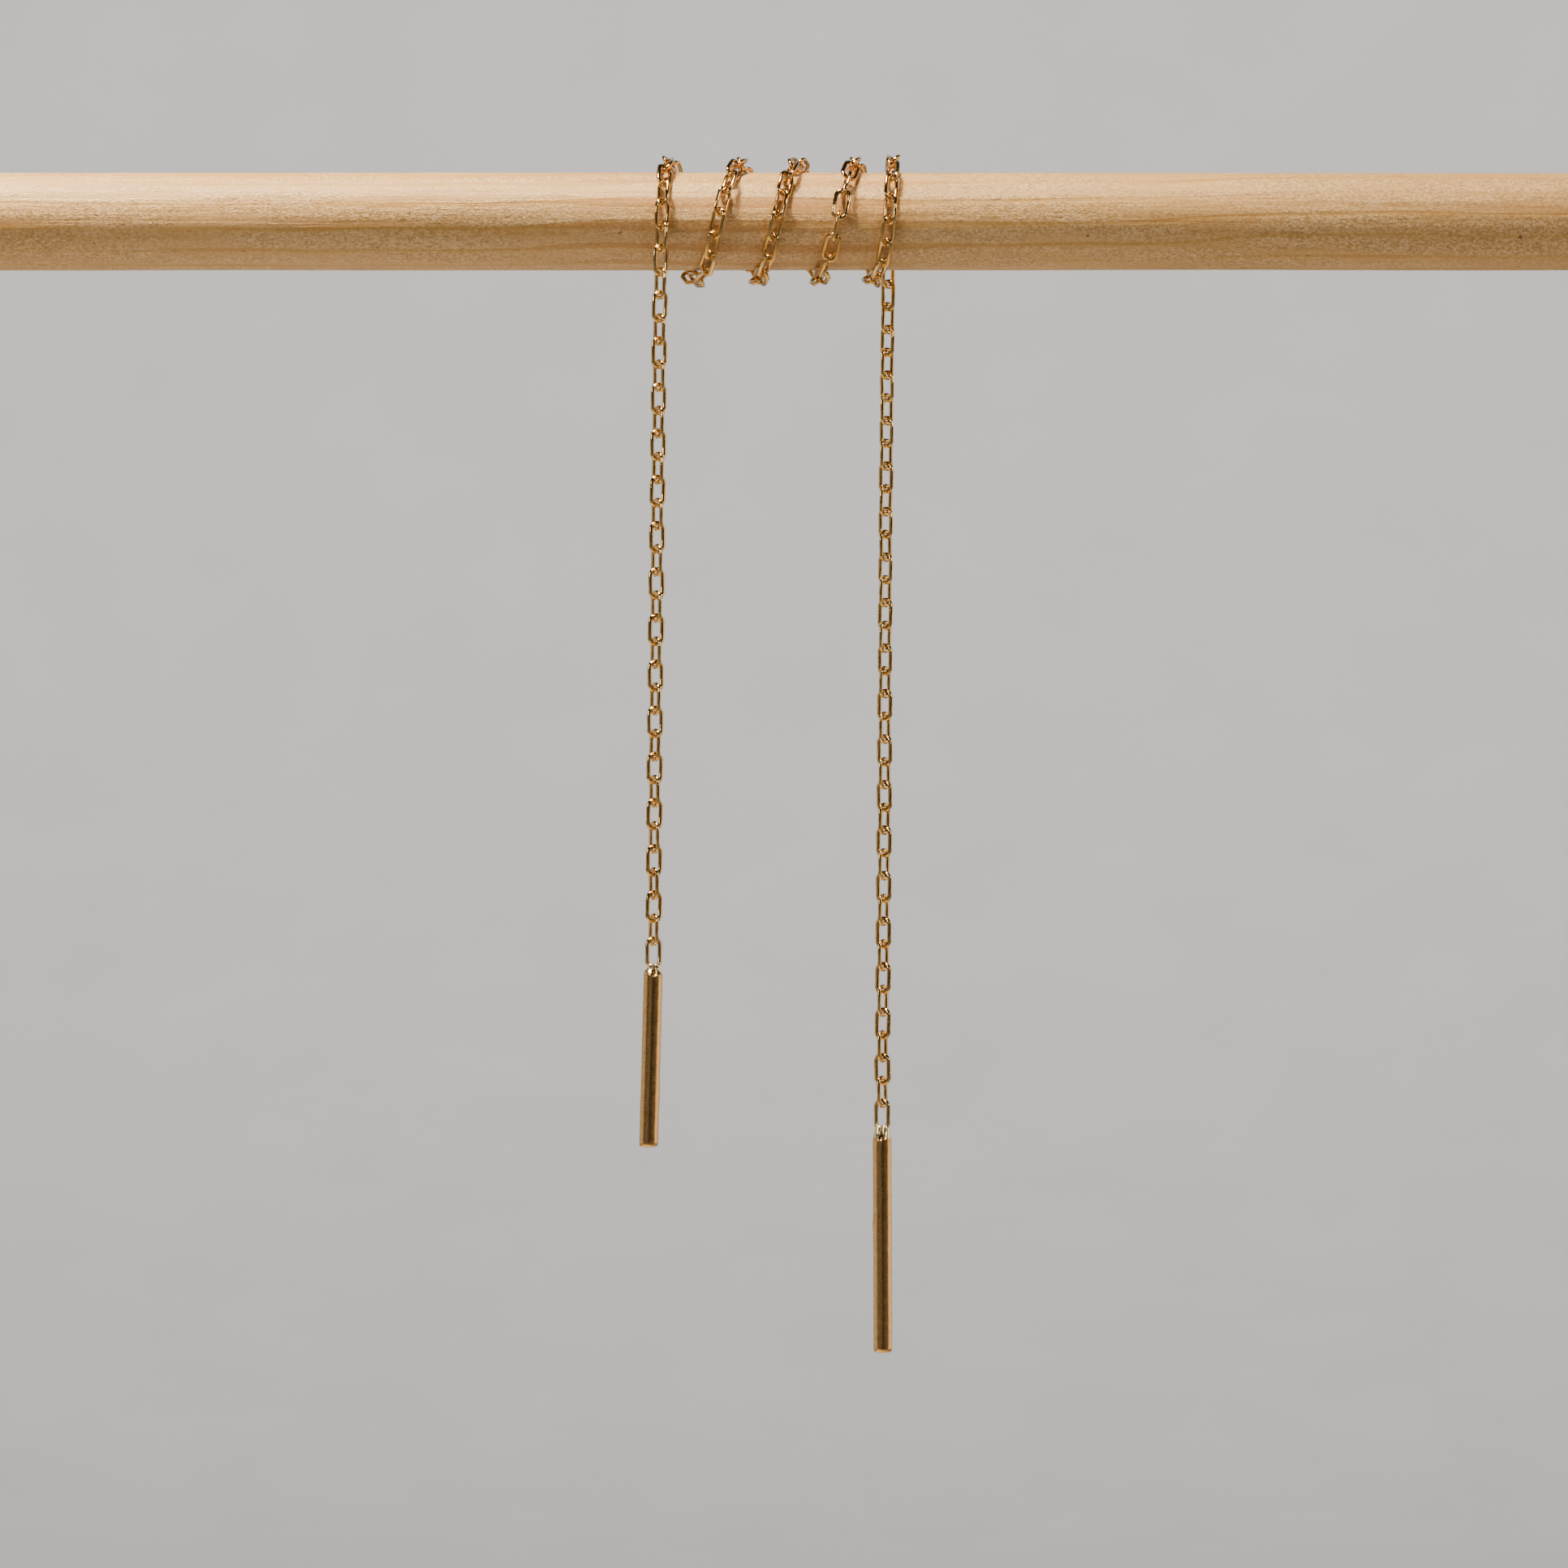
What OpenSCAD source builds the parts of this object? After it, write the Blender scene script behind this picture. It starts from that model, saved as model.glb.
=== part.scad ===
// A threader earring: one fine cable chain with a plain round bar at each end,
// wound round a wooden stick that holds it up.
// The origin is the middle of the stick's axis. The stick lies along X, and Z is up.
// The short bar hangs in front of the stick, towards -Y, and the long bar behind it.

/* [Stick] */
// Diameter of the round wooden stick
stick_d = 4.85; // [4:0.05:7]
// Length of the stick
stick_len = 100; // [60:1:200]
// Bevel round each sawn end of the stick
stick_bevel = 0.2; // [0.05:0.05:0.6]

/* [Chain] */
// Length of one link, outside
link_len = 1.7; // [1.6:0.01:2]
// Width of one link, outside
link_w = 0.92; // [0.85:0.01:1.1]
// Width of the flattened wire, measured across the wall of the link
wire_w = 0.17; // [0.14:0.01:0.18]
// Thickness of the flattened wire, measured through the link
wire_t = 0.15; // [0.1:0.01:0.18]
// Play between two hooked links when the chain is pulled straight
link_play = 0.207; // [0.18:0.001:0.28]
// Gap between the wound chain and the stick
wind_gap = 0.03; // [0.03:0.01:0.3]

/* [Hanging ends] */
// Height from the stick's axis down to the middle of the short bar's own link
front_drop = 36.72; // [20:0.01:60]
// Height from the stick's axis down to the long bar's own link, to the nearest whole link
back_drop = 44.93; // [20:0.01:60]

/* [Bars] */
// Diameter of both bars
bar_d = 0.95; // [0.7:0.01:1.4]
// Length of the short bar's round body
short_bar_len = 8.65; // [4:0.05:20]
// Length of the long bar's round body
long_bar_len = 11; // [4:0.1:20]
// Bevel round the free end of each bar
bar_bevel = 0.08; // [0.02:0.01:0.2]
// Diameter of the solder joint where it meets the link
neck_d = 0.66; // [0.5:0.01:0.7]
// Height of the solder joint, from the link down to the full width of the bar
neck_h = 0.5; // [0.3:0.01:1]
// How far the solder rises inside the link, above the inner edge of its wire
solder_rise = 0.13; // [0.02:0.01:0.2]
// Lean of the short bar, its free end towards -X
short_bar_lean = 1.5; // [-5:0.1:5]
// Lean of the long bar, its free end towards -X
long_bar_lean = -0.2; // [-5:0.1:5]

/* [Hidden] */

// Chosen points of the two hanging strands.
// Columns: height below the stick's axis, place along the stick, roll of every second link.
FRONT_STRAND = [
    [0, -6.08, -36],
    [1.5, -6.14, -36],
    [5, -6.21, -35],
    [17, -6.35, -32],
    [27, -6.45, -30],
    [37, -6.52, -28],
];
BACK_STRAND = [
    [0, 5.32, -405],
    [5.4, 5.25, -403],
    [15, 5.15, -400],
    [28, 5.09, -395],
    [38, 5.02, -391],
    [45, 4.97, -388],
];

// Chosen points of the wound stretch, which starts at the front of the stick and goes up over it.
// Columns: turns made, place along the stick, roll of every second link, lift off the snug path.
WOUND = [
    [0.00, -6.08, -36, 0.04],
    [0.12, -6.02, -40, 0.03],
    [0.22, -5.90, -50, 0.04],
    [0.33, -5.52, -64, 0.12],
    [0.50, -5.20, -90, 0.24],
    [0.66, -4.82, -114, 0.14],
    [0.80, -4.06, -130, 0.02],
    [0.90, -3.66, -135, 0.00],
    [1.00, -3.31, -135, 0.00],
    [1.10, -2.80, -137, 0.00],
    [1.22, -2.28, -144, 0.03],
    [1.33, -1.98, -156, 0.07],
    [1.50, -1.76, -180, 0.09],
    [1.66, -1.56, -204, 0.07],
    [1.80, -1.10, -220, 0.02],
    [1.90, -0.72, -225, 0.00],
    [2.00, -0.33, -225, 0.00],
    [2.10, 0.05, -225, 0.00],
    [2.22, 0.60, -225, 0.02],
    [2.33, 1.05, -225, 0.01],
    [2.66, 1.48, -225, 0.00],
    [2.80, 1.90, -230, 0.02],
    [2.90, 2.32, -248, 0.07],
    [3.00, 2.72, -269, 0.10],
    [3.10, 3.12, -288, 0.08],
    [3.22, 3.52, -308, 0.04],
    [3.33, 3.80, -323, 0.08],
    [3.50, 4.02, -347, 0.12],
    [3.66, 4.22, -370, 0.09],
    [3.80, 4.72, -392, 0.04],
    [3.90, 5.05, -404, 0.01],
    [4.00, 5.28, -405, 0.00],
    [4.10, 5.38, -405, 0.02],
    [4.22, 5.50, -405, 0.10],
    [4.33, 5.48, -405, 0.32],
    [4.50, 5.32, -405, 0.38],
];

// The columns by name, the same for all three tables.
TURNS = 0;
ALONG = 1;
ROLL = 2;
LIFT = 3;

// The outline of a solder joint, from the link down to the bar.
// Columns: share of the joint's height, share of the way out from its top width to the bar's.
JOINT_OUTLINE = [[0, 0], [0.2, 0.4], [0.6, 0.85], [1, 1]];

// Sides of a full circle
ROUND = 48;

// From link to link along the chain, and how far a link rolled by 45 degrees reaches to its side.
pitch = link_len - 2 * wire_w - link_play;
side_reach = (link_w * sin(45) + wire_t * cos(45)) / 2;
snug_r = stick_d / 2 + wind_gap + side_reach;

// The chain bends only where links hook, so its hooks lie on a slightly larger circle than its
// links' middles, and one link spans a slightly longer arc than its pitch.
half_bend = asin(pitch / (2 * snug_r));
arc_pitch = pitch * half_bend * PI / 180 / sin(half_bend);

// The value in one column of a table, on the straight runs between the chosen points.
function at(key, table, column) = lookup(key, [for (row = table) [row[0], row[column]]]);
function hook_r(turns) = (snug_r + at(turns, WOUND, LIFT)) / cos(half_bend);

// The wound stretch, unrolled, is a line of straight runs from one chosen point to the next.
last_point = len(WOUND) - 1;
run_lens = [for (i = [0 : last_point - 1]) let (a = WOUND[i], b = WOUND[i + 1])
    norm([2 * PI * (hook_r(a[TURNS]) + hook_r(b[TURNS])) / 2 * (b[TURNS] - a[TURNS]), b[ALONG] - a[ALONG]])];
arcs = [for (i = 0, arc = 0; i <= last_point; arc = arc + (i < last_point ? run_lens[i] : 0), i = i + 1) arc];
turns_by_arc = [for (i = [0 : last_point]) [arcs[i], WOUND[i][TURNS]]];

// Places along the chain are counted in links, from the middle of the short bar's own link.
wind_start = front_drop / pitch;
wind_end = wind_start + arcs[last_point] / arc_pitch;
last_link = round(wind_end + back_drop / pitch);

function turns_at(place) = lookup((place - wind_start) * arc_pitch, turns_by_arc);
function outward(turns) = [0, -cos(360 * turns), sin(360 * turns)];
function drop_at(place) = pitch * max(wind_start - place, place - wind_end, 0);
function at_place(place, column) =
    place < wind_start ? at(drop_at(place), FRONT_STRAND, column)
    : place > wind_end ? at(drop_at(place), BACK_STRAND, column)
    : at(turns_at(place), WOUND, column);
function hook(place) =
    let (turns = turns_at(place))
    [at_place(place, ALONG), 0, -drop_at(place)] + hook_r(turns) * outward(turns);

function unit(v) = v / norm(v);
// The middle of link number i, and its directions across its width, through it and along it.
function link_middle(i) = (hook(i - 0.5) + hook(i + 0.5)) / 2;
function link_axes(i) =
    let (along = unit(hook(i + 0.5) - hook(i - 0.5)), level = unit(cross(along, outward(turns_at(i)))))
    let (roll = at_place(i, ROLL) + (i % 2 == 0 ? 0 : 90))
    let (across = level * cos(roll) + cross(level, along) * sin(roll))
    [across, cross(along, across), along];

// The outline of a link: two round ends and two straight sides.
module oval(w) {
    straight = link_len - link_w;
    for (end = [-1, 1]) translate([0, end * straight / 2]) circle(d = w, $fn = ROUND);
    square([w, straight], center = true);
}

// One link stands along Z, with its width along X.
module link() {
    rotate([90, 0, 0]) linear_extrude(wire_t, center = true) difference() {
        oval(link_w);
        oval(link_w - 2 * wire_w);
    }
}

module placed_link(i) {
    axes = link_axes(i);
    middle = link_middle(i);
    multmatrix([for (k = [0 : 2]) [axes[0][k], axes[1][k], axes[2][k], middle[k]]]) link();
}

// A bar hangs from the origin down, with its solder joint on top.
module bar(body_len) {
    top_r = neck_d / 2;
    r = bar_d / 2;
    end = -neck_h - body_len;
    joint = [for (point = JOINT_OUTLINE) [top_r + point[1] * (r - top_r), -point[0] * neck_h]];
    rotate_extrude($fn = ROUND)
        polygon(concat([[0, 0]], joint, [[r, end + bar_bevel], [r - bar_bevel, end], [0, end]]));
}

// The solder takes in the outer end of the bar's own link.
module soldered_bar(i, hang, body_len, lean) {
    seat = link_middle(i) + hang * link_axes(i)[2] * (link_len / 2 - wire_w - solder_rise);
    placed_link(i);
    translate(seat) rotate([0, lean, 0]) bar(body_len);
}

module stick() {
    r = stick_d / 2;
    end = stick_len / 2;
    color("burlywood") rotate([0, 90, 0]) rotate_extrude($fn = 2 * ROUND)
        polygon([[0, -end], [r - stick_bevel, -end], [r, -end + stick_bevel],
            [r, end - stick_bevel], [r - stick_bevel, end], [0, end]]);
}

module chain() {
    color("goldenrod") for (i = [1 : last_link - 1]) placed_link(i);
}

module short_bar() {
    color("gold") soldered_bar(0, -1, short_bar_len, short_bar_lean);
}

module long_bar() {
    color("gold") soldered_bar(last_link, 1, long_bar_len, long_bar_lean);
}

stick();
chain();
short_bar();
long_bar();
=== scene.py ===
# %% [markdown]
# # A threader earring on a wooden stick
#
# A threader earring is one fine chain with a plain round bar at each end. A bar goes through the
# hole in the ear and the chain follows it. Here the chain is wound round a wooden stick, and its
# two ends hang down.
#
# The frame is the measured model. It gives the true place and size of each piece, and everything
# below is dressed around it. One unit is a metre, so sizes in millimetres are multiplied by MM.

# %% Load the frame
import math
from typing import NamedTuple

import bmesh
import bpy
import numpy as np
from mathutils import Matrix, Vector, noise


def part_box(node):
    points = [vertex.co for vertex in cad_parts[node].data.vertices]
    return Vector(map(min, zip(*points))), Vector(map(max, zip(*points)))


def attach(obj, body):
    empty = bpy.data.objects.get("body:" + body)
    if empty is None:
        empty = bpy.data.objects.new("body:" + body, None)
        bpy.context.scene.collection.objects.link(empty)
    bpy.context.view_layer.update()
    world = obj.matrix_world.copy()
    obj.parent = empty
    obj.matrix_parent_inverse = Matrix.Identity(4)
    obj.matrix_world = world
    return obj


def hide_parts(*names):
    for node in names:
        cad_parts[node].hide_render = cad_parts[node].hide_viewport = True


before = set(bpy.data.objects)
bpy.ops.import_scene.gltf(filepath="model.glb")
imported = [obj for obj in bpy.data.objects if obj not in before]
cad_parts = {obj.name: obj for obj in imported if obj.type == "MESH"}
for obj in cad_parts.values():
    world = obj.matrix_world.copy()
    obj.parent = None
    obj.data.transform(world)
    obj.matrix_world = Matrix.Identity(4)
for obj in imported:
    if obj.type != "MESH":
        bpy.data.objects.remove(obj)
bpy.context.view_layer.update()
MM = 0.001
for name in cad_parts:
    low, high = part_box(name)
    print(name, "from", [round(v / MM, 2) for v in low], "to", [round(v / MM, 2) for v in high], "mm")

# %% [markdown]
# ## Tools for materials
#
# A shader works in linear light, but people choose colours by their sRGB hex code. One function
# turns the second into the first.
#
# A second function adds a node to any tree, with its settings and its links. It hands back the
# node, and a node can be given to another as a value, so a material below reads as a list of what
# it is made of. The nodes that are used most have short names.

# %% Colour and nodes
SHORT_NAMES = {
    "times": ("ShaderNodeMath", {"operation": "MULTIPLY"}),
    "plus": ("ShaderNodeMath", {"operation": "ADD"}),
    "minus": ("ShaderNodeMath", {"operation": "SUBTRACT"}),
    "fade": ("ShaderNodeMapRange", {"interpolation_type": "SMOOTHSTEP"}),
    "mix": ("ShaderNodeMix", {"data_type": "RGBA"}),
}


def srgb(hex_code):
    """Linear red, green, blue and alpha from an sRGB hex code."""
    parts = [int(hex_code[i:i + 2], 16) / 255 for i in (1, 3, 5)]
    return [p / 12.92 if p <= 0.04045 else ((p + 0.055) / 1.055) ** 2.4 for p in parts] + [1.0]


def add(tree, kind, *values, inputs=None, **settings):
    """A new node, of a kind or a short name. Values go to its sockets in order, and inputs gives
    more by their sockets' names. Each value is plain, or a node or socket to link from."""
    kind, usual = SHORT_NAMES.get(kind, (kind, {}))
    made = tree.nodes.new(kind)
    for key, value in {**usual, **settings}.items():
        setattr(made, key, value)
    # A node has the sockets of all its modes, and only those of its present mode are enabled.
    pairs = list(zip([socket for socket in made.inputs if socket.enabled], values))
    pairs += [(made.inputs[key], value) for key, value in (inputs or {}).items()]
    for socket, value in pairs:
        if isinstance(value, bpy.types.Node):
            value = next(out for out in value.outputs if out.enabled)
        if isinstance(value, bpy.types.NodeSocket):
            tree.links.new(value, socket)
        else:
            socket.default_value = value
    return made


def new_material(name):
    """A material, its empty tree, and the Object coordinates in it."""
    material = bpy.data.materials.new(name)
    material.use_nodes = True
    tree = material.node_tree
    tree.nodes.clear()
    return material, tree, add(tree, "ShaderNodeTexCoord").outputs["Object"]


print("a mid grey, #808080, is", [round(v, 3) for v in srgb("#808080")])

# %% [markdown]
# ## Bare bamboo
#
# The stick is a round bamboo skewer, split from the stem, turned and left bare. Bamboo has no
# rings. It is a cream foam of tiny cells, with bundles of hard fibre running through it. Where a
# bundle comes to the surface it shows as an ochre line, a few tenths of a millimetre wide and some
# centimetres long. The cut cells between them look grainy: each is a small pit, and its thin
# wall catches the light. Here both are painted into the colour: painted shade in the pits and
# painted highlights on the walls. One joint of the stem left a browner patch.
#
# The pattern reads Object coordinates in millimetres, stretched along X, because the fibres run
# along the stick. A stretched noise alone would put the lines anywhere. So the bundles are counted
# by the angle round the stick, and each whole count starts a new one. Stretched noises push the
# count a little to and fro, so the lines drift and fade as they run.

# %% Bamboo: its flesh
PER_MM = 1 / MM
bare_bamboo, tree, place = new_material("bare_bamboo_turned")


def streaks(along_mm, across_mm, detail=1.0, shift=(0, 0, 0)):
    """A noise whose features are along_mm long along the stick and across_mm wide across it."""
    scale = (PER_MM / along_mm, PER_MM / across_mm, PER_MM / across_mm)
    stretched = add(tree, "ShaderNodeMapping", place, inputs={"Scale": scale, "Location": shift})
    return add(tree, "ShaderNodeTexNoise", stretched, inputs={"Scale": 1.0, "Detail": detail})


flesh = add(tree, "mix", add(tree, "fade", streaks(16, 1.2), 0.35, 0.65), srgb("#D8AD72"), srgb("#C8995A"))
print("the flesh takes", len(tree.nodes), "nodes")

# %% Bamboo: where the bundles lie
# 13 bundles in a turn are one each 1.2 mm. Left of the chain, where the joint of the stem begins,
# they step aside by a quarter of that, and right of the chain by a third. Two noises let them waver.
STICK_R = 4.85 / 2
BUNDLES = 13
BUNDLES_APART = 2 * math.pi * STICK_R / BUNDLES
WAVER = 0.4
xyz = add(tree, "ShaderNodeSeparateXYZ", place).outputs
x_mm = add(tree, "times", xyz["X"], PER_MM)
forward = add(tree, "times", xyz["Y"], -1.0)
angle = add(tree, "ShaderNodeMath", xyz["Z"], forward, operation="ARCTAN2")
count = add(tree, "times", angle, BUNDLES / (2 * math.pi))
for aside in (add(tree, "fade", x_mm, -15.0, -8.0, 0.95, 0.70),
              add(tree, "fade", x_mm, 17.0, 25.0, 0.0, -0.36),
              add(tree, "times", streaks(40, 3.0, 0.0), WAVER),
              add(tree, "times", streaks(9, 1.2, 1.0, (4.0, 0.0, 0.0)), WAVER)):
    count = add(tree, "plus", count, aside)
step = add(tree, "ShaderNodeMath", count, operation="FRACT")
print("bundles are", round(BUNDLES_APART, 2), "mm apart")

# %% Bamboo: how strong a bundle shows
# Close to the joint of the stem the bundles are thicker and browner, and this fades out.
JOINT_X = -2.5
JOINT_NEAR = 4.0
JOINT_FAR = 12.0
off_joint = add(tree, "ShaderNodeMath", add(tree, "minus", x_mm, JOINT_X), operation="ABSOLUTE")
near_joint = add(tree, "fade", off_joint, JOINT_NEAR, JOINT_FAR, 1.0, 0.0)
jointed = add(tree, "times", near_joint, add(tree, "fade", streaks(9, 0.8, 0.0), 0.28, 0.50))

# Lines are drawn on the skin only. On the sawn ends, nearer the axis, they would be wedges.
crosswise = add(tree, "ShaderNodeCombineXYZ", inputs={"Y": xyz["Y"], "Z": xyz["Z"]})
from_axis = add(tree, "ShaderNodeVectorMath", crosswise, operation="LENGTH")
on_skin = add(tree, "fade", from_axis, 2.15 * MM, 2.30 * MM)
patches = add(tree, "plus", streaks(16, 0.9), add(tree, "times", jointed, 0.15))
strength = add(tree, "times", add(tree, "fade", patches, 0.34, 0.52, 0.45, 1.0), on_skin)
print("the joint shows from x =", JOINT_X - JOINT_FAR, "to", JOINT_X + JOINT_FAR, "mm")

# %% Bamboo: each bundle's line
# Each bundle is an ochre line with a sharp upper edge, over a softer yellow band. Its step runs
# upwards to 1 at that edge, where the next bundle's starts from 0. Near the joint the line starts
# at a smaller step, so it is thicker.
LINE_START = 0.87
LINE_SOFT = 0.06
edge = add(tree, "times", add(tree, "fade", step, 0.0, 0.05, 1.0, 0.0), strength)
start = add(tree, "plus", LINE_START, add(tree, "times", jointed, -0.34))
starts = [add(tree, "plus", start, soft) for soft in (-LINE_SOFT, LINE_SOFT)]
core = add(tree, "times", add(tree, "fade", step, *starts, 0.0, 0.85), strength)
line = add(tree, "plus", core, edge)
band = add(tree, "times", add(tree, "fade", step, 0.60, 0.93), strength)
line_tone = add(tree, "mix", jointed, srgb("#BE8E42"), srgb("#B68042"))
bundled = add(tree, "mix", add(tree, "times", band, 0.8), flesh, srgb("#CFA257"))
bundled = add(tree, "mix", line, bundled, line_tone)
print("away from the joint a line is", round((1 - LINE_START) * BUNDLES_APART, 2), "mm thick")

# %% Bamboo: the grain of cut cells
# Each cell is a pit, a glint or neither, by chance. A pit gets painted shade and a glint a painted
# highlight, both in the colour. Real cells are about 0.05 mm wide, and they are drawn 0.09 mm wide
# and 0.14 mm long, so that they show.
CELL_LONG = 0.14
CELL_WIDE = 0.09
loose = add(tree, "fade", streaks(8, 0.8, 2.0, (0.0, 7.0, 0.0)), 0.36, 0.58, 0.35, 1.0)
zone = add(tree, "times", loose, add(tree, "fade", line, 0.0, 1.0, 1.0, 0.4))
cell_scale = (PER_MM / CELL_LONG, PER_MM / CELL_WIDE, PER_MM / CELL_WIDE)
cell_place = add(tree, "ShaderNodeMapping", place, inputs={"Scale": cell_scale})
cell = add(tree, "ShaderNodeTexVoronoi", cell_place, inputs={"Scale": 1.0}).outputs
chance = add(tree, "ShaderNodeSeparateColor", cell["Color"])
spot = add(tree, "times", add(tree, "fade", cell["Distance"], 0.30, 0.60, 1.0, 0.0), zone)
# Painted shade in the pits, and painted highlights on the glinting cell walls.
pit_shade = add(tree, "times", add(tree, "fade", chance, 0.26, 0.34, 1.0, 0.0), spot)
painted_glints = add(tree, "times", add(tree, "fade", chance, 0.70, 0.78), spot)
cells = streaks(0.20, 0.12, 2.0)
shade = add(tree, "mix", add(tree, "fade", cells, 0.38, 0.60), srgb("#A98856"), srgb("#EED0A0"))
shaded = add(tree, "plus", add(tree, "times", zone, 0.36), 0.08)
print("cells in a millimetre of wood:", round(1 / CELL_LONG), "along it,", round(1 / CELL_WIDE), "across")

# %% Bamboo: wisps, end dots and specks
# Wisps are single fibres, 0.07 mm wide. On the sawn ends the bundles are cut across and show as
# brown dots, 0.6 mm apart. A few dark specks are dirt in open cells.
DOTS_APART = 0.6
fibres = add(tree, "fade", streaks(14, 0.07, 2.0), 0.57, 0.70, 0.0, 0.6)
tufts = add(tree, "fade", streaks(12, 0.7, 0.0, (0.0, 2.0, 0.0)), 0.45, 0.6)
end_scale = (0.0, PER_MM / DOTS_APART, PER_MM / DOTS_APART)
end_place = add(tree, "ShaderNodeMapping", place, inputs={"Scale": end_scale})
end_cells = add(tree, "ShaderNodeTexVoronoi", end_place, inputs={"Scale": 1.0})
on_ends = add(tree, "fade", on_skin, 0.0, 1.0, 1.0, 0.0)
dots = add(tree, "times", add(tree, "fade", end_cells, 0.14, 0.26, 0.75, 0.0), on_ends)
specks = add(tree, "fade", streaks(0.5, 0.22, 1.0, (5.0, 5.0, 5.0)), 0.235, 0.205, 0.0, 0.8)
print("end dots are", DOTS_APART, "mm apart, so far", len(tree.nodes), "nodes")

# %% Bamboo: all its layers
wood = bundled
# The pits' dark tone is painted shade, and the glints' pale tone is a painted highlight.
for share, tint in ((add(tree, "times", fibres, tufts), srgb("#C6A068")),
                    (shaded, shade),
                    (add(tree, "times", pit_shade, 0.60), srgb("#927248")),
                    (add(tree, "times", painted_glints, 0.55), srgb("#F5E0B4")),
                    (dots, srgb("#8A6234")),
                    (specks, srgb("#5F4526"))):
    wood = add(tree, "mix", share, wood, tint)
combed = add(tree, "times", streaks(5, 0.07, 2.0), 0.5)
pitted = add(tree, "times", streaks(0.14, 0.10, 1.0, (2.0, 2.0, 2.0)), zone)
relief = add(tree, "plus", pitted, combed)
bumped = add(tree, "ShaderNodeBump", inputs={"Height": relief, "Strength": 1.0, "Distance": 0.04 * MM})
matt = add(tree, "fade", cells, 0.3, 0.7, 0.34, 0.60)
shader = add(tree, "ShaderNodeBsdfPrincipled",
             inputs={"Base Color": wood, "Roughness": matt, "Normal": bumped, "IOR": 1.5})
add(tree, "ShaderNodeOutputMaterial", shader)
print("bamboo has", len(tree.nodes), "nodes")

# %% [markdown]
# ## Yellow gold, polished and satin
#
# Both finishes are yellow gold. The chain is drawn wire, rolled flat and tumbled with steel shot,
# which leaves it bright but never quite even. The bars are left satin: a fine rough skin that
# spreads each reflection into a soft band. Where the solder ran, at the top of each bar, the
# metal is paler and smoother, because it melted and set again.
#
# Metal takes all its colour from its reflections, so Metallic is 1 and the IOR keeps its default.
# Small noises in the colour, the roughness and the bump keep the surface from looking printed.

# %% Polished gold of the chain
# Each link has a tone of its own, and the marks of tumbling are about 0.15 mm apart.
polished_gold, tree, place = new_material("yellow_gold_tumbled")
MARKS_APART = 0.15
link_tone = add(tree, "ShaderNodeAttribute", attribute_name="link_tone").outputs["Fac"]
chain_tone = add(tree, "mix", link_tone, srgb("#D8AC66"), srgb("#E8C27E"))
marks = add(tree, "ShaderNodeTexNoise", place, inputs={"Scale": PER_MM / MARKS_APART, "Detail": 2.0})
dents = add(tree, "ShaderNodeBump", inputs={"Height": marks, "Strength": 0.5, "Distance": 0.02 * MM})
bright = add(tree, "fade", marks, 0.3, 0.7, 0.05, 0.14)
shader = add(tree, "ShaderNodeBsdfPrincipled",
             inputs={"Base Color": chain_tone, "Metallic": 1.0, "Roughness": bright, "Normal": dents})
add(tree, "ShaderNodeOutputMaterial", shader)
print("polished gold has", len(tree.nodes), "nodes")

# %% Satin gold of the bars
# Attributes of the bar's mesh: 1 where the solder ran, 1 on the link that stands in it, and 1 in
# the crevice between the solder's two lobes, where its dark tone is painted shade.
# The skin's grit is about 0.03 mm in the real metal and is drawn at 0.06 mm, so that it shows.
satin_gold, tree, place = new_material("yellow_gold_satin")
GRIT_APART = 0.06
solder, link, crevice_shade = [add(tree, "ShaderNodeAttribute", attribute_name=label).outputs["Fac"]
                         for label in ("solder", "link", "crevice_shade")]
grit = add(tree, "ShaderNodeTexNoise", place,
           inputs={"Scale": PER_MM / GRIT_APART, "Detail": 3.0, "Roughness": 0.7})
bar_tone = add(tree, "mix", add(tree, "fade", grit, 0.3, 0.6), srgb("#C58F50"), srgb("#E6B876"))
# The crevice's dark tone is painted shade.
for share, tint in ((solder, "#F9E3AE"), (crevice_shade, "#3A2810"), (link, "#D9B67C")):
    bar_tone = add(tree, "mix", share, bar_tone, srgb(tint))
covered = add(tree, "ShaderNodeMath", solder, link, operation="MAXIMUM")
bare = add(tree, "minus", 1.0, covered)
smooth = add(tree, "plus", 0.15, add(tree, "times", solder, 0.05))
satin = add(tree, "plus", add(tree, "times", add(tree, "fade", grit, 0.3, 0.7, 0.0, 0.10), bare), smooth)
grit_shows = add(tree, "fade", bare, 0.0, 1.0, 0.15, 0.30)
skin = add(tree, "ShaderNodeBump", inputs={"Height": grit, "Strength": grit_shows, "Distance": 0.02 * MM})
shader = add(tree, "ShaderNodeBsdfPrincipled",
             inputs={"Base Color": bar_tone, "Metallic": 1.0, "Roughness": satin, "Normal": skin})
add(tree, "ShaderNodeOutputMaterial", shader)
print("materials:", [m.name for m in (bare_bamboo, polished_gold, satin_gold)])

# %% [markdown]
# ## The stick
#
# A turned stick is never a perfect cylinder. The cutter leaves it a few hundredths of a millimetre
# thicker in one place than in another, and soft flesh wears away between hard bundles, so shallow
# grooves run along it. A plain cylinder would show a ruler-straight edge in the picture.
#
# So its skin is a grid of rings, and a noise stretched along the grain moves each point in or
# out. The sawn ends are closed by smaller rings, so the last facets stay small too.

# %% The stick's skin
STICK_HALF = 50.0
STICK_BEVEL = 0.2
STICK_SIDES = 144
STICK_STEP = 0.6
WAVE_DEPTH = 0.035
GROOVE_DEPTH = 0.014
# The skin as a whole lies this much outside the measured radius.
SKIN_OUT = 0.02
MIN_R = 0.05
# Rings of a sawn end: share of the bevel's length done, and how much smaller the ring is, in mm.
SAWN_END = [(0.35, 0.03), (0.75, 0.1), (1.0, 0.2), (1.0, 0.9), (1.0, 1.7)]


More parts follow.
